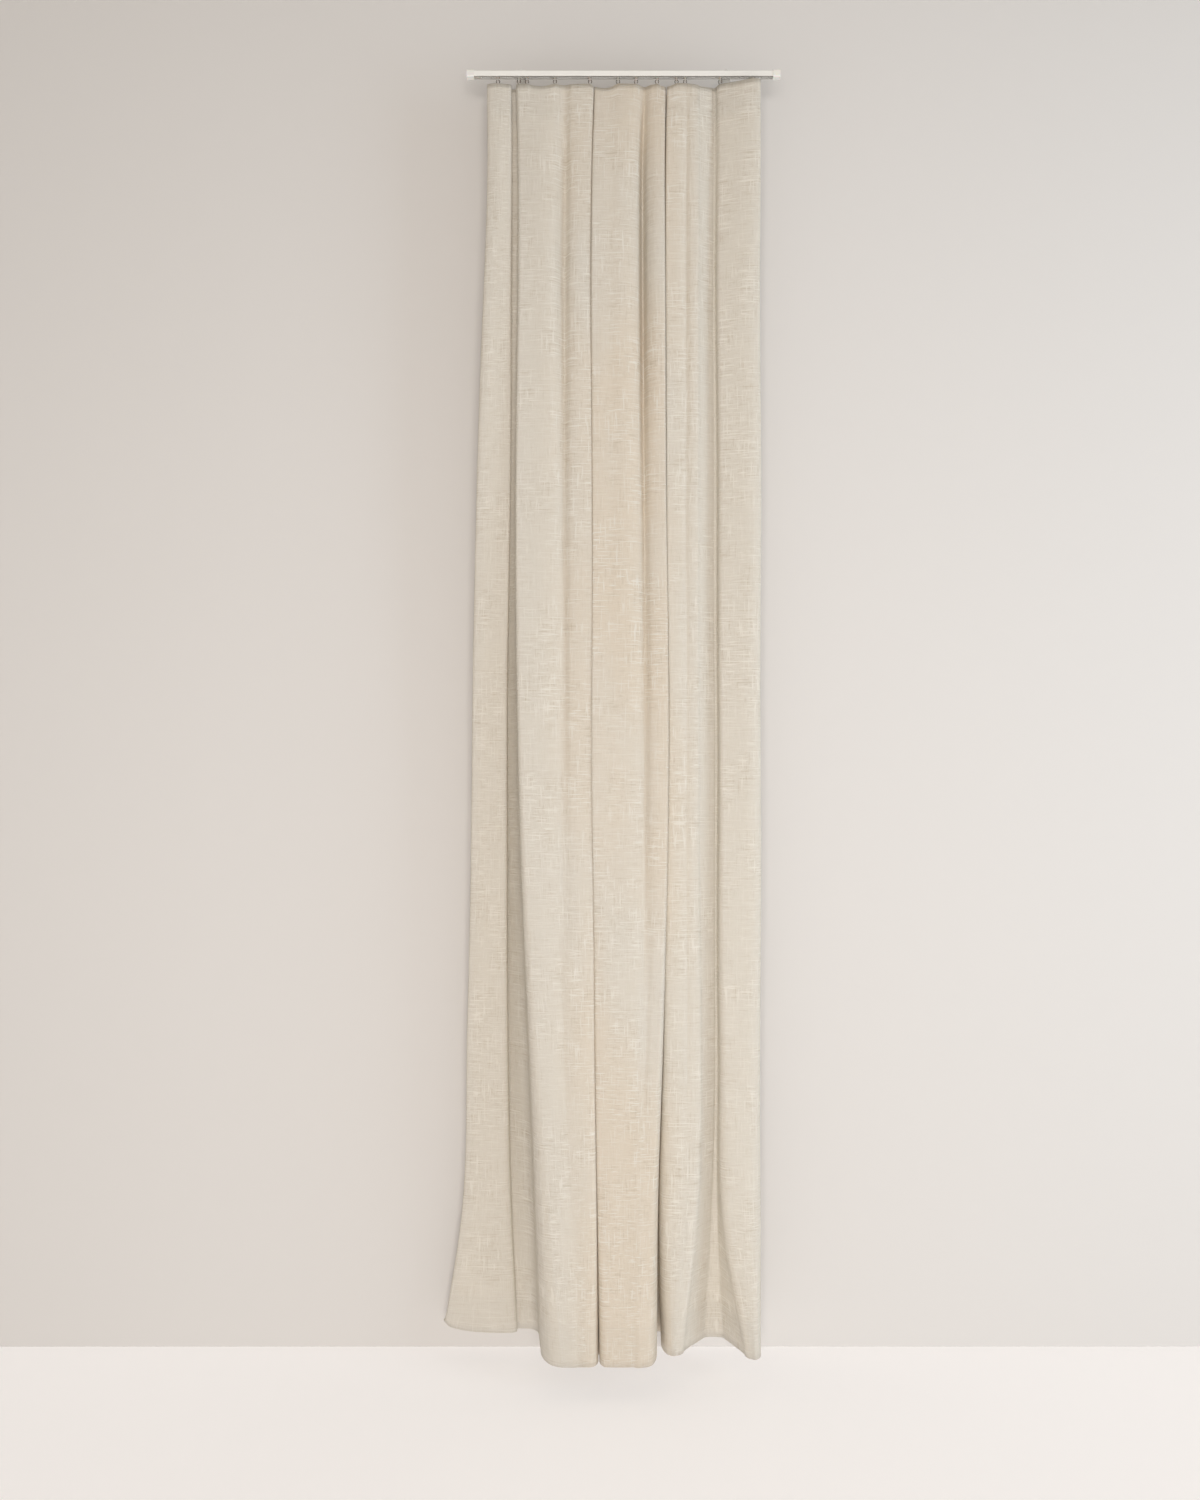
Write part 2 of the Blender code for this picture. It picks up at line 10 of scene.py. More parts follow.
import bmesh
import bpy
import numpy as np
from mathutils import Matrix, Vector


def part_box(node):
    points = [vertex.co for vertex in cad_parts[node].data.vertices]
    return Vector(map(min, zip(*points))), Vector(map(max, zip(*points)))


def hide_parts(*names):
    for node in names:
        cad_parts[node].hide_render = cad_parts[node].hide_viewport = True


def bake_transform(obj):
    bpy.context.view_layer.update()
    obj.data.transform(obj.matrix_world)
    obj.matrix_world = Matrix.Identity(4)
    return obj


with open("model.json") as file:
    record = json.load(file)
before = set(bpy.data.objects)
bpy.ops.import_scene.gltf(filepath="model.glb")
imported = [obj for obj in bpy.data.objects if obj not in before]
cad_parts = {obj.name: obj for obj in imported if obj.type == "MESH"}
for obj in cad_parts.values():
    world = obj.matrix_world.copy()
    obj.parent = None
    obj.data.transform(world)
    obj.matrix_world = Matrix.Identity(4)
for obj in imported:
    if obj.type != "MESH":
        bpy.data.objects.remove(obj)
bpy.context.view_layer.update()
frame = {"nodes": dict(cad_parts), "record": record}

MM = 0.001

# The frame's hooks and folds, and places measured on its nodes
HOOKS = [f"hook_{n:02d}" for n in range(1, 13)]
FOLDS = [f"cloth_fold_{n:02d}" for n in range(1, 13)]


def middle(node):
    low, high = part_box(node)
    return (low + high) / 2


HOOK_X = [middle(name).x for name in HOOKS]
HOOK_Y = middle("rail").y
RAIL_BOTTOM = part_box("rail")[0].z
HEADING_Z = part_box("cloth_fold_01")[1].z
HEM_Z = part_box("cloth_fold_01")[0].z
DROP = HEADING_Z - HEM_Z

# Cloth
FLAT_WIDTH = 0.80
CLOTH_THICKNESS = 0.9 * MM
COLUMNS = 360  # squares across the sheet
ROWS = 128  # squares down it
ROW_POWER = 1.1  # above 1, rows stand closer together near the heading

# The folds in plan, at these fractions of the drop. Each row gives a stretch of cloth's left end, its
# right end and how far it stands out from the plane of the hooks towards the room, in millimetres.
LEVELS = (0.0, 0.06, 0.33, 0.55, 0.75, 0.90, 1.0)
LEAD_PANEL = (
    (-264, -218, 3), (-264, -217, 5), (-287, -221, -5), (-296, -229, -18),
    (-307, -228, -35), (-319, -222, -48), (-357, -211, -60),
)
FIRST_RECESS = (
    (-221, -206, -14), (-220, -203, -14), (-222, -209, -22), (-229.5, -206, -44),
    (-229, -188, -60), (-223, -175, -70), (-212, -166, -76),
)
SECOND_FOLD = (
    (-208, -57.4, 3), (-204, -61.4, 11), (-208, -62, 20), (-202, -61, 38),
    (-182, -57, 55), (-169, -52, 65), (-161, -48.5, 70),
)
SECOND_RECESS = (
    (-62, -51, -10), (-63, -58, 2), (-61.5, -59.2, 18.5), (-61.2, -59.6, 38.6),
    (-57, -54.4, 50), (-52, -48, 50), (-50, -43, 24),
)
THIRD_FOLD = (
    (-55.6, 82, 3), (-60, 80, 13), (-60, 82, 22), (-60, 85, 40),
    (-54.5, 75, 54), (-49.5, 64, 64), (-46, 63, 70),
)
THIRD_RECESS = (
    (76, 92, -26), (76, 90, -18), (81, 86, 8), (85, 88, 16),
    (74, 80, 8), (61, 78, -30), (56, 84, -66),
)
FOURTH_FOLD = (
    (84.5, 146, 5), (82, 146, 9), (84.5, 146, 12), (87.5, 146, 17),
    (77.5, 149, 21), (68.5, 143, 25), (73.5, 116, 28),
)
VALLEY = (
    (173, 180, -9), (173, 180, -9), (174, 182, -8), (176, 183, -3),
    (175, 183, -3), (170, 186, -14), (158, 200, -44),
)
LAST_FOLD = (
    (181, 263, 13), (181, 263, 16), (183, 263, 22), (184, 263, 28),
    (184, 263, 32), (192, 263, 36), (232, 263, 42),
)
STRETCHES = (
    LEAD_PANEL, FIRST_RECESS, SECOND_FOLD, SECOND_RECESS, THIRD_FOLD,
    THIRD_RECESS, FOURTH_FOLD, VALLEY, LAST_FOLD,
)
FIXED_EDGE = (263, 266, -2)  # the panel's right edge, turned back towards the hooks

# How much further out some stretches' right side stands than their left at each level, in millimetres,
# by the stretch's place in STRETCHES
TILTS = {
    1: (0, 2, 12, 26, 36, 28, 8),
    8: (27, 25, 18, 12, 7, 3, 0),
}
# How far each stretch, and the fixed edge, bows out at its middle, in millimetres
CROWNS = (2, -1, 3, -1, 3, -1, 2, -1, 2, 0)
# Soft creases in some stretches: where along the rail, how deep and how wide at the heading in
# millimetres, and the fraction of the drop where they would have faded
CREASES = {
    2: ((-116, 27, 9, 0.82),),
    4: ((-24, 3, 10, 0.9), (39, 36, 9, 0.95)),
    6: ((121, 6, 6, 1.3),),
}
TAPE_HOLDS = 0.4  # the share of a crease's depth that the heading tape lets it have at the top edge
TAPE_FREES = 0.06  # the fraction of the drop below which the tape no longer holds a crease
# The roll over the side between one stretch and the next: its width and depth at the heading, and its
# width and depth at the hem, in millimetres
ROLLS = (
    (5, 4, 22, 12), (5, 6, 44, 72), (3, 4, 14, 34), (3, 4, 13, 40), (3, 4, 20, 52),
    (3, 4, 28, 46), (10, 3, 26, 14), (6, 8, 22, 18), (28, 14, 16, 24),
)
LEAD_ROLL = (14, 3, 14, 3)  # the same for the panel's lead edge
ROLLS_GROW = 4.5  # above 1, the rolls grow mostly near the hem
RECESS_ROLL = 0.35  # how deep a recess's side of a roll is, as a share of the fold's side
ROLL_WIDEST = 0.42  # the most of a stretch's width that one roll may take
ROLL_MEETS = 0.48  # the most of the jump to the next stretch that one roll may take
FIXED_ROLL = 0.1  # the fixed edge's outer roll, as a share of its width
ROLL_STEPS = (0.0, 0.06, 0.25, 0.55, 1.0)  # where a roll has points, as shares of its width
PLAIN_STEPS = 14  # how many pieces the curve has between a stretch's two rolls
# How far the top edge sags between one hook and the next, in millimetres
SAGS = (1, 0.5, 6, 1, 9, 1, 2, 6, 0.5, 3, 1)
SAG_FADES = 45 * MM  # below the heading
NOISE_WAVES = 9
# Small unevenness: about how many waves a metre across and down, the seed, and the height
WANDER = (2, 1.7, 5, 0.7 * MM)  # sideways
RIPPLES = ((9, 1.1, 3, 0.8 * MM), (22, 4, 8, 0.25 * MM))  # in and out
UNEVEN_FROM = 0.15  # metres below the heading; above that the tape holds the cloth more evenly
CORNER_CURL = 26 * MM  # how far the lead edge's corner lifts at the hem
CORNER_REACH = 17 * MM  # how fast that lift fades along the hem and up the edge


def roll_at(number, fraction):
    """A roll's width and depth, in millimetres, at a fraction of the drop."""
    width, depth, hem_width, hem_depth = ROLLS[number] if 0 <= number < len(ROLLS) else LEAD_ROLL
    share = fraction**ROLLS_GROW
    return width + (hem_width - width) * share, depth + (hem_depth - depth) * share


def crease(number, x, fraction):
    """How far a stretch's creases draw it in at one place, in millimetres."""
    freed = TAPE_HOLDS + (1 - TAPE_HOLDS) * min(1.0, fraction / TAPE_FREES)
    depths = 0.0
    for place, depth, wide, faded in CREASES.get(number, ()):
        depths += depth * freed * max(0.0, 1 - fraction / faded) * math.exp(-abs(x - place) / wide)
    return depths


def roll_sides(stretches, number, fraction):
    """The rolls at a stretch's left and right side, each as (width, drop) in millimetres."""
    left, right, out = stretches[number]
    width = right - left
    sides = []
    for beside, roll_number in ((number - 1, number - 1), (number + 1, number)):
        roll, depth = roll_at(roll_number, fraction)
        jump = depth
        if 0 <= beside < len(stretches):
            jump = (out - stretches[beside][2]) * ROLL_MEETS
        if jump < 0:
            depth *= RECESS_ROLL
        sides.append((min(roll, ROLL_WIDEST * width), math.copysign(min(abs(jump), depth), jump)))
    if number == len(stretches) - 1:
        sides[1] = (FIXED_ROLL * width, 0.0)
    return sides


def plan_points(level):
    """The plan curve's points at one level, as (x, how far out) in metres."""
    fraction = LEVELS[level]
    stretches = [rows[level] for rows in STRETCHES] + [FIXED_EDGE]
    points = []
    for number, (left, right, out) in enumerate(stretches):
        width = right - left
        (roll_left, drop_left), (roll_right, drop_right) = roll_sides(stretches, number, fraction)
        inner_left, inner_right = left + roll_left, right - roll_right
        places = [left + roll_left * step for step in ROLL_STEPS]
        places += list(np.linspace(inner_left, inner_right, PLAIN_STEPS + 1)[1:-1])
        places += [right - roll_right * step for step in reversed(ROLL_STEPS)]
        for x in places:
            along = (x - left) / width - 0.5
            rise = CROWNS[number] * (1 - 4 * along**2) - crease(number, x, fraction)
            if number in TILTS:
                rise += TILTS[number][level] * along
            ends = ((x - left, roll_left, drop_left), (right - x, roll_right, drop_right))
            for edge, roll, drop in ends:
                if edge < roll:
                    rise -= drop * (1 - math.sqrt(1 - (1 - edge / roll) ** 2))
            points.append((x, out + rise))
    return np.array(points) * MM


def curve_through(points, pieces, along):
    """Places on a smooth curve through the points: a centripetal Catmull-Rom curve.

    Each place is a share of the way along one of the curve's numbered pieces.
    """
    padded = np.vstack([2 * points[0] - points[1], points, 2 * points[-1] - points[-2]])
    steps = np.sqrt(np.linalg.norm(np.diff(padded, axis=0), axis=1))
    knots = np.concatenate([[0], np.cumsum(np.maximum(steps, 1e-3))])
    p = [padded[pieces + n] for n in range(4)]
    k = [knots[pieces + n][:, None] for n in range(4)]
    t = k[1] + (k[2] - k[1]) * along[:, None]
    a = [((k[n + 1] - t) * p[n] + (t - k[n]) * p[n + 1]) / (k[n + 1] - k[n]) for n in range(3)]
    b = [((k[n + 2] - t) * a[n] + (t - k[n]) * a[n + 1]) / (k[n + 2] - k[n]) for n in range(2)]
    return ((k[2] - t) * b[0] + (t - k[1]) * b[1]) / (k[2] - k[1])


def between_levels(values, fractions):
    """Smooth values between the levels; values has one row for each level."""
    at = np.array(LEVELS)
    slopes = np.gradient(values, at, axis=0)
    found = np.clip(np.searchsorted(at, fractions, side="right") - 1, 0, len(at) - 2)
    span = (at[found + 1] - at[found])[:, None, None]
    t = (fractions - at[found])[:, None, None] / span
    return (
        (2 * t**3 - 3 * t**2 + 1) * values[found]
        + (t**3 - 2 * t**2 + t) * span * slopes[found]
        + (3 * t**2 - 2 * t**3) * values[found + 1]
        + (t**3 - t**2) * span * slopes[found + 1]
    )


def soft_noise(u, v, seed):
    """A smooth wandering value, mostly between -1 and 1."""
    draw = np.random.default_rng(seed)
    total = np.zeros(np.broadcast(u, v).shape)
    for _ in range(NOISE_WAVES):
        across, down, phase = draw.uniform(0.4, 1.6), draw.uniform(-1, 1), draw.uniform(0, 2 * math.pi)
        total = total + np.sin(2 * math.pi * (across * u + down * v) + phase)
    return total / math.sqrt(NOISE_WAVES)


def unevenness(across, down, kind):
    """Small soft waves of one kind, in metres."""
    waves_across, waves_down, seed, height = kind
    return soft_noise(across * waves_across, down * waves_down, seed) * height


PLANS = [plan_points(level) for level in range(len(LEVELS))]
PIECE_LENGTHS = np.mean([np.linalg.norm(np.diff(plan, axis=0), axis=1) for plan in PLANS], axis=0)
REACHED = np.concatenate([[0], np.cumsum(PIECE_LENGTHS)]) / PIECE_LENGTHS.sum()


def heading_sag(x):
    """How far the top edge hangs below the hooks, at a place along the rail."""
    hooks = np.array(HOOK_X)
    gap = np.clip(np.searchsorted(hooks, x) - 1, 0, len(hooks) - 2)
    t = np.clip((x - hooks[gap]) / (hooks[gap + 1] - hooks[gap]), 0, 1)
    return 4 * t * (1 - t) * np.array(SAGS)[gap] * MM


def cloth_places(u, v):
    """The cloth's middle surface as (row, column, xyz), at flat places u across and v down in metres."""
    flat = np.clip(u / FLAT_WIDTH, 0, 1)
    fractions = np.clip(v / DROP, 0, 1)
    pieces = np.clip(np.searchsorted(REACHED, flat, side="right") - 1, 0, len(REACHED) - 2)
    along = (flat - REACHED[pieces]) / (REACHED[pieces + 1] - REACHED[pieces])
    curves = np.array([curve_through(plan, pieces, along) for plan in PLANS])
    plan = between_levels(curves, fractions)
    across, down = u[None, :], v[:, None]
    freed = np.minimum(1, down / UNEVEN_FROM)
    ripple = sum(unevenness(across, down, kind) for kind in RIPPLES)
    places = np.empty((len(v), len(u), 3))
    places[..., 0] = plan[..., 0] + unevenness(across, down, WANDER) * freed
    places[..., 1] = HOOK_Y - plan[..., 1] + ripple * freed
    sag = heading_sag(plan[0, :, 0])[None, :] * np.exp(-down / SAG_FADES)
    curl = CORNER_CURL * np.exp(-across / CORNER_REACH) * np.exp(-(DROP - down) / CORNER_REACH)
    places[..., 2] = HEADING_Z - down - sag + curl
    return places


def unit(vectors):
    """The same directions, each of length 1."""
    return vectors / np.linalg.norm(vectors, axis=-1, keepdims=True)


def back_normals(places):
    """Unit vectors out of the cloth's back, towards the wall side."""
    across = np.gradient(places, axis=1)
    down = np.gradient(places, axis=0)
    return unit(np.cross(across, down))


def grid_mesh(name, places, u, v):
    """A sheet with its flat places as its UV map, in metres."""
    rows, columns = places.shape[0] - 1, places.shape[1] - 1
    index = np.arange((rows + 1) * (columns + 1)).reshape(rows + 1, columns + 1)
    corners = [index[:-1, :-1], index[1:, :-1], index[1:, 1:], index[:-1, 1:]]
    faces = np.stack(corners, axis=-1).reshape(-1, 4)
    mesh = bpy.data.meshes.new(name)
    mesh.from_pydata(places.reshape(-1, 3).tolist(), [], faces.tolist())
    flat = np.stack(np.broadcast_arrays(u[None, :], -v[:, None]), axis=-1).reshape(-1, 2)
    loops = np.empty(len(mesh.loops), np.int32)
    mesh.loops.foreach_get("vertex_index", loops)
    mesh.uv_layers.new(name="cloth").data.foreach_set("uv", flat[loops].ravel())
    mesh.shade_smooth()
    thing = bpy.data.objects.new(name, mesh)
    bpy.context.scene.collection.objects.link(thing)
    return thing


def thicken(thing, thickness):
    """Give a sheet its two faces and its edge, and keep the result as its mesh."""
    step = thing.modifiers.new("thickness", "SOLIDIFY")
    step.thickness = thickness
    step.offset = 0.0  # half to each side
    step.use_even_offset = False
    graph = bpy.context.evaluated_depsgraph_get()
    mesh = bpy.data.meshes.new_from_object(thing.evaluated_get(graph))
    thing.modifiers.clear()
    thing.data = mesh
    mesh.name = thing.name


class Nodes:
    """Short names for building a material's node tree."""

    def __init__(self, name):
        self.material = bpy.data.materials.new(name)
        self.material.use_nodes = True
        self.tree = self.material.node_tree
        self.tree.nodes.clear()
        self.output = self.add("ShaderNodeOutputMaterial")

    def add(self, kind, **settings):
        node = self.tree.nodes.new(kind)
        for key, value in settings.items():
            setattr(node, key, value)
        return node

    def link(self, source, target):
        self.tree.links.new(source, target)

    def value(self, socket, thing):
        if isinstance(thing, bpy.types.NodeSocket):
            self.link(thing, socket)
        else:
            socket.default_value = thing

    def math(self, operation, *values):
        node = self.add("ShaderNodeMath", operation=operation)
        for socket, thing in zip(node.inputs, values):
            self.value(socket, thing)
        return node.outputs[0]

    def mix(self, share, first, second):
        node = self.add("ShaderNodeMix", data_type="RGBA")
        self.value(node.inputs["Factor"], share)
        for key, thing in (("A", first), ("B", second)):
            socket = next(s for s in node.inputs if s.name == key and s.type == "RGBA")
            self.value(socket, thing)
        return next(s for s in node.outputs if s.type == "RGBA")

    def scaled(self, vector, scale, shift=(0, 0, 0)):
        node = self.add("ShaderNodeMapping")
        self.link(vector, node.inputs["Vector"])
        node.inputs["Scale"].default_value = scale
        node.inputs["Location"].default_value = shift
        return node.outputs[0]

    def noise(self, vector, scale=1.0, detail=2.0, roughness=0.5):
        node = self.add("ShaderNodeTexNoise")
        self.link(vector, node.inputs["Vector"])
        node.inputs["Scale"].default_value = scale
        node.inputs["Detail"].default_value = detail
        node.inputs["Roughness"].default_value = roughness
        return node.outputs["Fac"]

    def bands(self, vector, direction):
        node = self.add("ShaderNodeTexWave", wave_type="BANDS", bands_direction=direction)
        self.link(vector, node.inputs["Vector"])
        node.inputs["Scale"].default_value = 1.0
        return node.outputs["Fac"]

    def ramp(self, source, low, high):
        """0 at low and 1 at high, smooth between, whichever of the two is larger."""
        node = self.add("ShaderNodeMapRange", interpolation_type="SMOOTHSTEP")
        self.link(source, node.inputs["Value"])
        node.inputs["From Min"].default_value = low
        node.inputs["From Max"].default_value = high
        return node.outputs[0]

    def bump(self, height, strength, distance):
        node = self.add("ShaderNodeBump")
        self.link(height, node.inputs["Height"])
        node.inputs["Strength"].default_value = strength
        node.inputs["Distance"].default_value = distance
        return node.outputs[0]

    def principled(self, colour, roughness, normal=None, **settings):
        shader = self.add("ShaderNodeBsdfPrincipled")
        self.value(shader.inputs["Base Color"], colour)
        self.value(shader.inputs["Roughness"], roughness)
        if normal is not None:
            self.link(normal, shader.inputs["Normal"])
        for key, value in settings.items():
            shader.inputs[key.replace("_", " ")].default_value = value
        return shader.outputs[0]


PALE_LINEN = (0.866, 0.833, 0.762, 1)
# Painted warm light: towards the middle of the panel the cloth turns to this warmer colour in patches,
# standing for warm light in its folds.
PAINTED_WARM_LIGHT_LINEN = (0.88, 0.806, 0.695, 1)
PAINTED_WARM_LIGHT_MIDDLE = 0.43  # where the painted warm light is strongest, in metres from the cloth's lead edge; the sides have faded
PAINTED_WARM_LIGHT_REACH = (0.22, 0.10)  # painted warm light: none beyond the first distance, full within the second
SLUB_PALE = (0.97, 0.945, 0.88, 1)
SLUB_DARK = (0.58, 0.50, 0.38, 1)
LIGHT_THROUGH = (0.87, 0.77, 0.61, 1)  # daylight browns as it passes through the yarn
LIGHT_BROWNS = 0.45  # how much of that brown mixes with the cloth's own colour
CLOTH_SHOWS_THROUGH = 0.30


def yarn(n, flat):
    """How thick the yarn is at each place: slubs along both directions, and the plain weave.

    Slubs are stretched noise, 2 to 3 mm thick and a few centimetres long, and fine ones are under 1 mm
    thick. The weave has a thread about every 2 mm in both directions.
    """
    threads = n.bands(n.scaled(flat, (155, 0, 1)), "X")
    picks = n.bands(n.scaled(flat, (0, 150, 1)), "Y")
    return {
        "weft": n.noise(n.scaled(flat, (30, 370, 1)), detail=2.5, roughness=0.55),
        "warp": n.noise(n.scaled(flat, (330, 20, 1), (3.1, 7.7, 0)), detail=2.5, roughness=0.55),
        "fine_weft": n.noise(n.scaled(flat, (90, 1100, 1), (5.3, 0.9, 0)), detail=2.0),
        "fine_warp": n.noise(n.scaled(flat, (1100, 70, 1), (8.8, 4.1, 0)), detail=2.0),
        "weave": n.math("MULTIPLY", threads, picks),
    }


# Where each kind of slub shows: the noise, where it starts and where it is full, its colour, and how
# much of it
SLUBS = (
    ("weft", 0.42, 0.31, SLUB_DARK, 0.42),
    ("warp", 0.41, 0.31, SLUB_DARK, 0.30),
    ("fine_weft", 0.45, 0.33, SLUB_DARK, 0.32),
    ("fine_warp", 0.45, 0.33, SLUB_DARK, 0.26),
    ("warp", 0.58, 0.65, SLUB_PALE, 0.80),
    ("weft", 0.56, 0.63, SLUB_PALE, 1.0),
)


def linen_tone(n, flat, yarns):
    """The cloth's colour: painted warm light in patches towards the middle of the panel, then slubs in
    loose clusters.
    """
    clusters = n.noise(n.scaled(flat, (14, 9, 1), (1.3, 2.1, 0)), detail=2.0)
    patches = n.noise(n.scaled(flat, (5, 1.6, 1), (4.7, 6.2, 0)), detail=2.0)
    across = n.add("ShaderNodeSeparateXYZ")
    n.link(flat, across.inputs[0])
    from_middle = n.math("ABSOLUTE", n.math("SUBTRACT", across.outputs["X"], PAINTED_WARM_LIGHT_MIDDLE))
    # Painted warm light, strongest at the middle of the panel.
    painted_warm_light = n.math("MULTIPLY", n.ramp(patches, 0.28, 0.58), n.ramp(from_middle, *PAINTED_WARM_LIGHT_REACH))
    tone = n.mix(painted_warm_light, PALE_LINEN, PAINTED_WARM_LIGHT_LINEN)
    busy = n.math("ADD", 0.35, n.math("MULTIPLY", n.ramp(clusters, 0.35, 0.62), 0.65))
    for kind, starts, full, colour, strength in SLUBS:
        where = n.math("MULTIPLY", n.ramp(yarns[kind], starts, full), busy)
        tone = n.mix(n.math("MULTIPLY", where, strength), tone, colour)
    return n.mix(n.math("MULTIPLY", yarns["weave"], 0.08), tone, SLUB_DARK)


def linen_height(n, yarns):
    """The cloth's relief: thick yarn stands up and the weave's crossings lie low."""
    height = n.math("ADD", yarns["weft"], n.math("MULTIPLY", yarns["warp"], 0.8))
    fine = n.math("ADD", yarns["fine_weft"], yarns["fine_warp"])
    height = n.math("ADD", height, n.math("MULTIPLY", fine, 0.5))
    return n.math("SUBTRACT", height, n.math("MULTIPLY", yarns["weave"], 0.25))


def linen(name):
    """Slub linen in plain weave, thin enough to let some light through."""
    n = Nodes(name)
    flat = n.add("ShaderNodeUVMap", uv_map="cloth").outputs[0]
    yarns = yarn(n, flat)
    tone = linen_tone(n, flat, yarns)
    normal = n.bump(linen_height(n, yarns), 0.6, 0.0012)
    cloth = n.principled(
        tone, 0.88, normal, Sheen_Weight=0.15, Sheen_Roughness=0.55,
        Sheen_Tint=(1.0, 0.96, 0.88, 1), Specular_IOR_Level=0.25,
    )
    through = n.add("ShaderNodeBsdfTranslucent")
    n.link(n.mix(LIGHT_BROWNS, tone, LIGHT_THROUGH), through.inputs["Color"])
    n.link(normal, through.inputs["Normal"])
    mixed = n.add("ShaderNodeMixShader")
    mixed.inputs[0].default_value = CLOTH_SHOWS_THROUGH
    n.link(cloth, mixed.inputs[1])
    n.link(through.outputs[0], mixed.inputs[2])
    n.link(mixed.outputs[0], n.output.inputs[0])
    return n.material


def object_space(n):
    return n.add("ShaderNodeTexCoord").outputs["Object"]


UNDERSIDE_SHADE = (0.20, 0.185, 0.165, 1)  # painted shade: a dark colour for the rail's faces that look down, standing for the shadow under it
ZINC_BRIGHT = (0.66, 0.66, 0.65, 1)
ZINC_DULL = (0.52, 0.52, 0.50, 1)
THREAD_PALE = (0.84, 0.79, 0.69, 1)
THREAD_DARK = (0.74, 0.68, 0.57, 1)


def painted_metal(name, colour, wear, underside_shade=0.0):
    """Powder coat: a fine orange peel, and a faint change of tone where hands and dust have been.

    On faces that look down, by the share given in the last argument, a painted shade darkens the colour.
    """
    n = Nodes(name)
    where = object_space(n)
    peel = n.noise(where, scale=900, detail=3)
    cloudy = n.noise(where, scale=14, detail=4)
    dulled = tuple(c * (1 - wear) for c in colour[:3]) + (1,)
    tone = n.mix(n.ramp(cloudy, 0.35, 0.75), colour, dulled)
    # Painted shade: faces that look down are darkened as if in shadow.
    if underside_shade:
        facing = n.add("ShaderNodeSeparateXYZ")
        n.link(n.add("ShaderNodeNewGeometry").outputs["Normal"], facing.inputs[0])
        down = n.ramp(n.math("MULTIPLY", facing.outputs["Z"], -1.0), 0.4, 0.8)
        tone = n.mix(n.math("MULTIPLY", down, underside_shade), tone, UNDERSIDE_SHADE)
    rough = n.math("ADD", 0.30, n.math("MULTIPLY", peel, 0.12))
    shader = n.principled(tone, rough, n.bump(peel, 0.12, 0.0004), Coat_Weight=0.15, Coat_Roughness=0.3)
    n.link(shader, n.output.inputs[0])
    return n.material


def moulded_plastic(name, colour, roughness):
    """Moulded nylon or plastic, with faint flow marks and a little light through it."""
    n = Nodes(name)
    where = object_space(n)
    flow = n.noise(n.scaled(where, (60, 300, 120)), detail=3)
    tone = n.mix(flow, colour, tuple(c * 0.93 for c in colour[:3]) + (1,))
    rough = n.math("ADD", roughness - 0.05, n.math("MULTIPLY", flow, 0.12))
    shader = n.principled(
        tone, rough, n.bump(flow, 0.1, 0.0003), Subsurface_Weight=0.15, Subsurface_Scale=0.001,
    )
    n.link(shader, n.output.inputs[0])
    return n.material


def zinc(name):
    """Zinc plate with fine turned marks."""
    n = Nodes(name)
    where = object_space(n)
    grain = n.noise(n.scaled(where, (400, 2500, 400)), detail=4)
    tone = n.mix(grain, ZINC_BRIGHT, ZINC_DULL)
    rough = n.math("ADD", 0.24, n.math("MULTIPLY", grain, 0.2))
    shader = n.principled(tone, rough, n.bump(grain, 0.2, 0.0002), Metallic=1.0)
    n.link(shader, n.output.inputs[0])
    return n.material


def thread(name):
    """Spun polyester thread, a shade paler than the cloth, with a fine twist."""
    n = Nodes(name)
    twist = n.noise(object_space(n), scale=2500, detail=2)
    tone = n.mix(twist, THREAD_PALE, THREAD_DARK)
    shader = n.principled(tone, 0.7, n.bump(twist, 0.3, 0.0001), Sheen_Weight=0.1)
    n.link(shader, n.output.inputs[0])
    return n.material


def wall_paint(name, colour):
    """Matt paint, seen only from the room: from behind it lets the view through."""
    n = Nodes(name)
    where = object_space(n)
    roller = n.noise(where, scale=180, detail=3)
    front = n.principled(colour, 0.9, n.bump(roller, 0.04, 0.001), Specular_IOR_Level=0.1)
    clear = n.add("ShaderNodeBsdfTransparent")
    behind = n.add("ShaderNodeNewGeometry").outputs["Backfacing"]
    mixed = n.add("ShaderNodeMixShader")
    n.link(behind, mixed.inputs[0])
    n.link(front, mixed.inputs[1])
    n.link(clear.outputs[0], mixed.inputs[2])
    n.link(mixed.outputs[0], n.output.inputs[0])
    return n.material


FINISHES = {
    # The rail gets painted shade on its faces that look down.
    "rail_white": painted_metal("rail_white", (0.90, 0.89, 0.85, 1), 0.04, underside_shade=0.8),
    "bracket_steel": painted_metal("bracket_steel", (0.82, 0.81, 0.78, 1), 0.08),
    "cap_white": moulded_plastic("cap_white", (0.87, 0.86, 0.82, 1), 0.40),
    # Painted shade: the gliders and the hook wire are coloured dark, standing for the shade in the
    # rail's slot and along the hooks.
    "glider_white": moulded_plastic("glider_white", (0.50, 0.47, 0.42, 1), 0.35),
    "hook_wire": moulded_plastic("hook_wire", (0.13, 0.11, 0.085, 1), 0.25),
    "screw_zinc": zinc("screw_zinc"),
    "curtain_linen": linen("curtain_linen"),
    "stitch_thread": thread("stitch_thread"),
}


def finish_cad_nodes():
    """Give each CAD piece that stays the procedural finish of its slot."""
    for part in frame["record"]["subparts"]:
        node = frame["nodes"][part["node"]]
        node.data.materials.clear()
        node.data.materials.append(FINISHES[part["material_slot"]])


CLOTH_SLOT = "curtain_linen"


def hang(piece):
    """Bake the piece's place into its mesh, where it hangs as built."""
    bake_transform(piece)


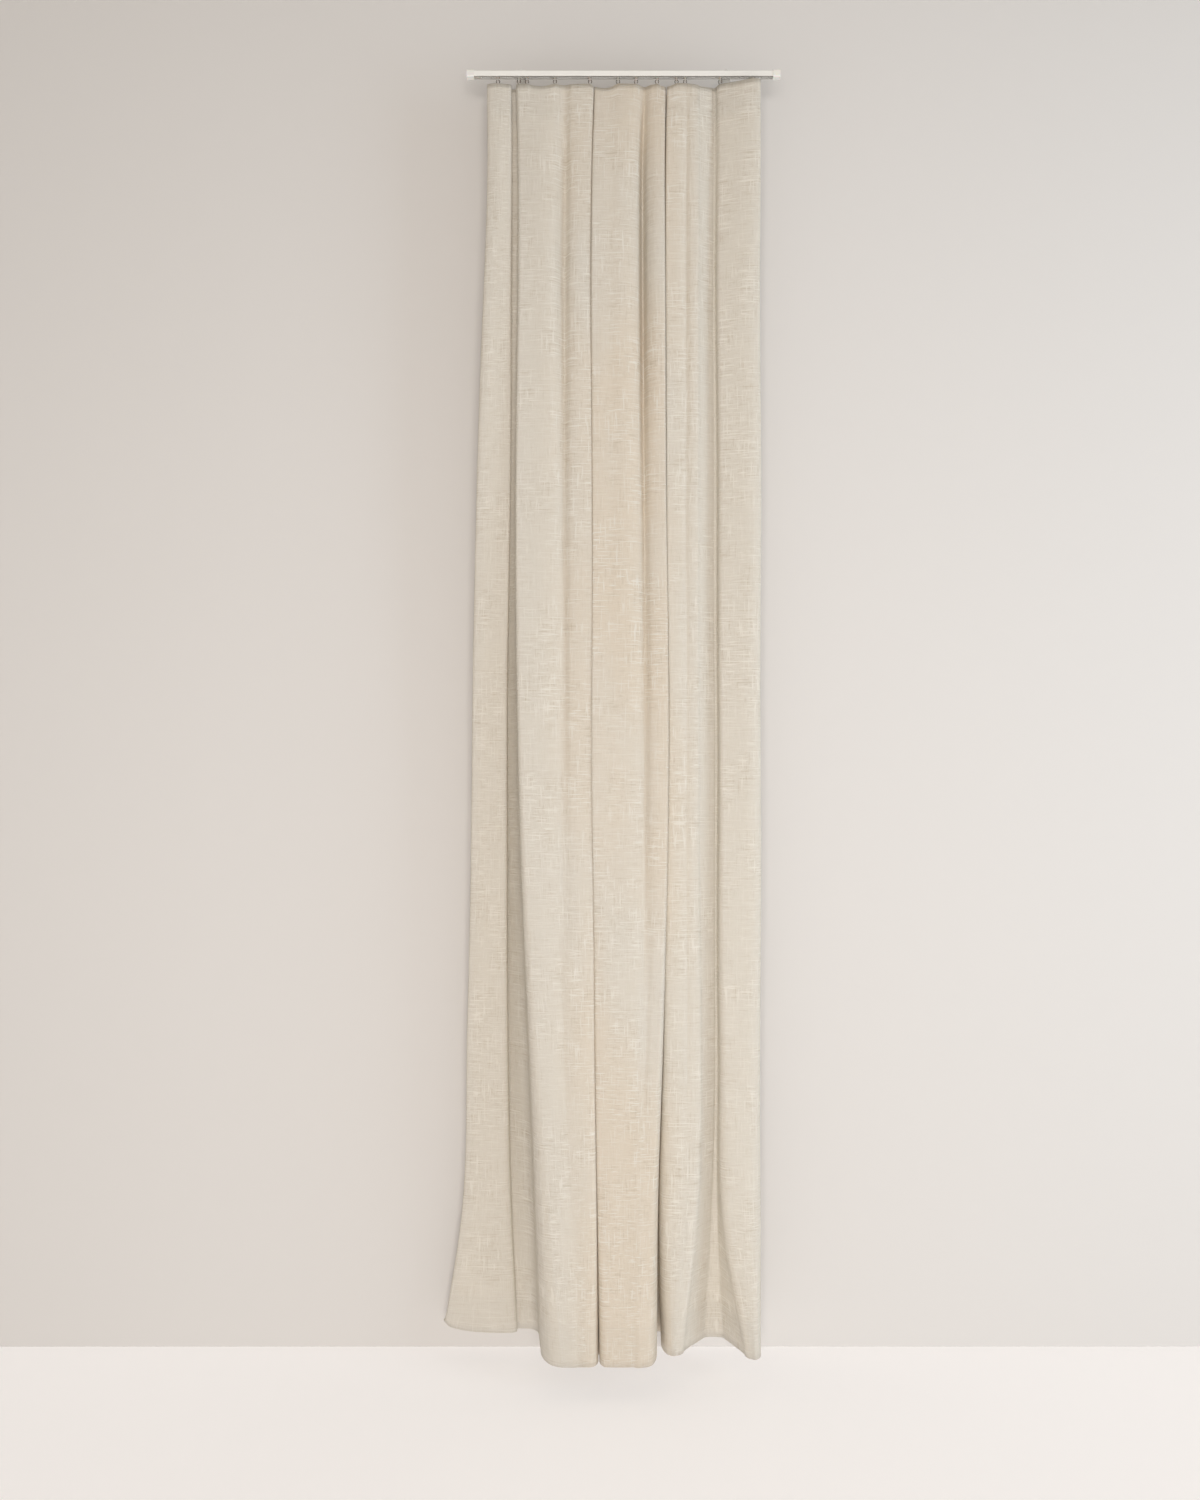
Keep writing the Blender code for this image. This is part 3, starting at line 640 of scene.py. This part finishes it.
# Heading tape: its place below the top edge, its size, and how far behind the cloth its middle lies
TAPE_TOP = 6 * MM
TAPE_HEIGHT = 60 * MM
TAPE_INSET = 4 * MM  # in from each side of the panel
TAPE_BEHIND = 1.3 * MM
TAPE_THICKNESS = 0.7 * MM
TAPE_ROWS = 10
# Hems: the bottom hem over the cloth, and the side hems over the bottom hem
HEM_HEIGHT = 75 * MM
HEM_BEHIND = 1.2 * MM
HEM_THICKNESS = 0.8 * MM
HEM_ROWS = 8
SIDE_HEM_WIDTH = 14 * MM
SIDE_HEM_INSET = 1 * MM  # in from the edge
SIDE_HEM_TOP = 2 * MM  # short of the top edge
SIDE_HEM_FOOT = 3 * MM  # short of the bottom edge
SIDE_HEM_COLUMNS = 6


def strip_behind(name, u, v, behind, thickness):
    """A strip of cloth sewn on the back of the curtain, over flat places u and v."""
    places = cloth_places(u, v)
    strip = grid_mesh(name, places + back_normals(places) * behind, u, v)
    thicken(strip, thickness)
    strip.data.materials.append(FINISHES[CLOTH_SLOT])
    hang(strip)
    return strip


def make_heading_tape():
    u = np.linspace(TAPE_INSET, FLAT_WIDTH - TAPE_INSET, COLUMNS)
    v = TAPE_TOP + np.linspace(0, TAPE_HEIGHT, TAPE_ROWS)
    return strip_behind("heading_tape", u, v, TAPE_BEHIND, TAPE_THICKNESS)


def make_bottom_hem():
    u = np.linspace(0, FLAT_WIDTH, COLUMNS)
    v = DROP - HEM_HEIGHT + np.linspace(0, HEM_HEIGHT, HEM_ROWS)
    return strip_behind("bottom_hem", u, v, HEM_BEHIND, HEM_THICKNESS)


def make_side_hem(name, start, end):
    u = np.linspace(start, end, SIDE_HEM_COLUMNS)
    v = np.linspace(SIDE_HEM_TOP, DROP - SIDE_HEM_FOOT, ROWS)
    return strip_behind(name, u, v, 2 * HEM_BEHIND, HEM_THICKNESS)


STITCH_LENGTH = 3.2 * MM
STITCH_RADIUS = 0.25 * MM
STITCH_SIDES = 6
STITCH_RINGS = ((-0.5, 0.35), (-0.3, 1.0), (0.3, 1.0), (0.5, 0.35))  # place along it, and girth
STITCH_SPACING = 4.6 * MM  # twice this down the side hems
ROW_INSET = 3 * MM  # a row across lies this far inside the edge of its tape or hem
ROW_ENDS = 6 * MM  # and starts this far in from the panel's sides
SIDE_ROW_INSET = 2 * MM  # a row down lies this far inside the edge of its side hem
SIDE_ROW_ENDS = 12 * MM  # and starts this far below the top edge
SEAM_STEP = 0.5 * MM  # how far apart the places are that give a seam's direction


def add_stitch(mesh, place, run, outward):
    """One stitch: a six-sided bead of thread that lies along the seam."""
    side = run.cross(outward).normalized()
    made = []
    for along, girth in STITCH_RINGS:
        ring_middle = place + run * (along * STITCH_LENGTH)
        ring = []
        for n in range(STITCH_SIDES):
            turn = 2 * math.pi * n / STITCH_SIDES
            off = side * math.cos(turn) + outward * math.sin(turn)
            ring.append(mesh.verts.new(ring_middle + off * (STITCH_RADIUS * girth)))
        made.append(ring)
    for first, second in zip(made, made[1:]):
        for n in range(STITCH_SIDES):
            after = (n + 1) % STITCH_SIDES
            mesh.faces.new((first[n], first[after], second[after], second[n]))
    mesh.faces.new(made[0][::-1])
    mesh.faces.new(made[-1])


def sew_across(mesh, v):
    """One row of stitches on the front, across the panel at v below its top edge."""
    u = np.arange(ROW_ENDS, FLAT_WIDTH - ROW_ENDS, STITCH_SPACING)
    above, row, below = cloth_places(u, np.array([v - SEAM_STEP, v, v + SEAM_STEP]))
    ahead = cloth_places(u + SEAM_STEP, np.array([v]))[0]
    behind = unit(np.cross(ahead - row, below - above))
    for n in range(len(u)):
        run = Vector(ahead[n] - row[n]).normalized()
        outward = -Vector(behind[n])
        add_stitch(mesh, Vector(row[n]) + outward * (CLOTH_THICKNESS / 2), run, outward)


def sew_down(mesh, u):
    """One row of stitches on the front, down the panel at u from its lead edge."""
    v = np.arange(SIDE_ROW_ENDS, DROP - SIDE_ROW_ENDS, 2 * STITCH_SPACING)
    places = cloth_places(np.array([u - SEAM_STEP, u, u + SEAM_STEP]), v)
    left, row, right = places[:, 0], places[:, 1], places[:, 2]
    below = cloth_places(np.array([u]), v + SEAM_STEP)[:, 0]
    for n in range(len(v)):
        run = Vector(below[n] - row[n]).normalized()
        outward = run.cross(Vector(right[n] - left[n])).normalized()
        if outward.y > 0:
            outward = -outward
        add_stitch(mesh, Vector(row[n]) + outward * (CLOTH_THICKNESS / 2), run, outward)


def make_stitching():
    """Rows of stitches: over the tape's two edges, the bottom hem's top and the side hems."""
    mesh = bmesh.new()
    tape_foot = TAPE_TOP + TAPE_HEIGHT
    for v in (TAPE_TOP + ROW_INSET, tape_foot - ROW_INSET, DROP - HEM_HEIGHT + ROW_INSET):
        sew_across(mesh, v)
    side_row = SIDE_HEM_WIDTH - SIDE_ROW_INSET
    for u in (side_row, FLAT_WIDTH - side_row):
        sew_down(mesh, u)
    data = bpy.data.meshes.new("stitching")
    mesh.to_mesh(data)
    mesh.free()
    data.shade_smooth()
    data.materials.append(FINISHES["stitch_thread"])
    stitching = bpy.data.objects.new("stitching", data)
    bpy.context.scene.collection.objects.link(stitching)
    hang(stitching)
    return stitching


def make_curtain():
    """The whole panel: one gathered sheet, and the pieces that are sewn to it."""
    u = np.linspace(0, FLAT_WIDTH, COLUMNS + 1)
    v = DROP * np.linspace(0, 1, ROWS + 1) ** ROW_POWER
    cloth = grid_mesh("curtain_cloth", cloth_places(u, v), u, v)
    thicken(cloth, CLOTH_THICKNESS)
    cloth.data.materials.append(FINISHES[CLOTH_SLOT])
    hang(cloth)
    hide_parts(*FOLDS)
    sewn = [
        make_heading_tape(),
        make_bottom_hem(),
        make_side_hem("side_hem_lead", SIDE_HEM_INSET, SIDE_HEM_WIDTH),
        make_side_hem("side_hem_fixed", FLAT_WIDTH - SIDE_HEM_WIDTH, FLAT_WIDTH - SIDE_HEM_INSET),
        make_stitching(),
    ]


def plane(name, corners, material):
    """A flat piece of the stage."""
    mesh = bpy.data.meshes.new(name)
    mesh.from_pydata(corners, [], [(0, 1, 2, 3)])
    thing = bpy.data.objects.new(name, mesh)
    bpy.context.scene.collection.objects.link(thing)
    mesh.materials.append(material)
    return thing


FLOOR_Z = HEM_Z - 0.053  # the hem hangs this far clear of the floor
WALL_Y = 0.0005  # half a millimetre clear of the bracket plates
WALL_TOP = FLOOR_Z + 5
ROOM_REACH = 9.0  # how far the floor and wall run to each side and to the front
FLOOR_COLOUR = (0.45, 0.43, 0.42, 1)
FLOOR_GLOW = 0.586
FLOOR_GLOW_COLOUR = (1.0, 0.955, 0.92, 1)
WALL_COLOUR = (0.72, 0.70, 0.68, 1)


def floor_paint(name):
    """Pale matt paint that glows a little, so that shadows on it stay faint."""
    n = Nodes(name)
    grain = n.noise(object_space(n), scale=120, detail=3)
    shader = n.principled(
        FLOOR_COLOUR, 0.8, n.bump(grain, 0.03, 0.001), Specular_IOR_Level=0.2,
        Emission_Color=FLOOR_GLOW_COLOUR, Emission_Strength=FLOOR_GLOW,
    )
    n.link(shader, n.output.inputs[0])
    return n.material


def make_stage():
    left_back, right_back = (-ROOM_REACH, WALL_Y, FLOOR_Z), (ROOM_REACH, WALL_Y, FLOOR_Z)
    left_front, right_front = (-ROOM_REACH, -ROOM_REACH, FLOOR_Z), (ROOM_REACH, -ROOM_REACH, FLOOR_Z)
    left_top, right_top = (-ROOM_REACH, WALL_Y, WALL_TOP), (ROOM_REACH, WALL_Y, WALL_TOP)
    plane("floor", [left_front, right_front, right_back, left_back], floor_paint("floor_paint"))
    plane("wall", [left_back, right_back, right_top, left_top], wall_paint("wall_paint", WALL_COLOUR))


def area_light(name, place, target, size, watts, colour):
    data = bpy.data.lights.new(name, "AREA")
    data.shape = "RECTANGLE"
    data.size, data.size_y = size
    data.energy = watts
    data.color = colour
    thing = bpy.data.objects.new(name, data)
    thing.location = place
    aim = Vector(target) - Vector(place)
    thing.rotation_euler = aim.to_track_quat("-Z", "Y").to_euler()
    bpy.context.scene.collection.objects.link(thing)


# Each light's place, what it faces, its size, its watts and its colour
LIGHTS = {
    "front": ((0.0, -4.3, -1.5), (0, -0.1, -1.3), (1.6, 1.8), 95, (1.0, 0.95, 0.91)),
    "key": ((3.3, -1.7, -0.9), (0, -0.1, -1.2), (1.4, 2.6), 42, (0.72, 0.865, 1.0)),
}
AMBIENT = 0.21
AMBIENT_COLOUR = (1.0, 0.89, 0.73, 1)


def make_lights():
    for name, settings in LIGHTS.items():
        area_light(name, *settings)
    world = bpy.data.worlds.new("studio")
    world.use_nodes = True
    world.node_tree.nodes["Background"].inputs["Color"].default_value = AMBIENT_COLOUR
    world.node_tree.nodes["Background"].inputs["Strength"].default_value = AMBIENT
    bpy.context.scene.world = world


CAMERA_FROM_RAIL = 2.3
CAMERA_BELOW_RAIL = 1.304
CAMERA_LEFT = 0.0456  # of the middle between the brackets
CAMERA_LENS = 28.46


def make_camera():
    data = bpy.data.cameras.new("camera")
    data.lens = CAMERA_LENS
    data.sensor_width = 36
    thing = bpy.data.objects.new("camera", data)
    thing.location = (-CAMERA_LEFT, HOOK_Y - CAMERA_FROM_RAIL, RAIL_BOTTOM - CAMERA_BELOW_RAIL)
    thing.rotation_euler = (math.radians(90), 0, 0)
    bpy.context.scene.collection.objects.link(thing)
    bpy.context.scene.camera = thing


finish_cad_nodes()
make_curtain()
make_stage()
make_lights()
make_camera()
bpy.context.scene.view_settings.view_transform = "Standard"
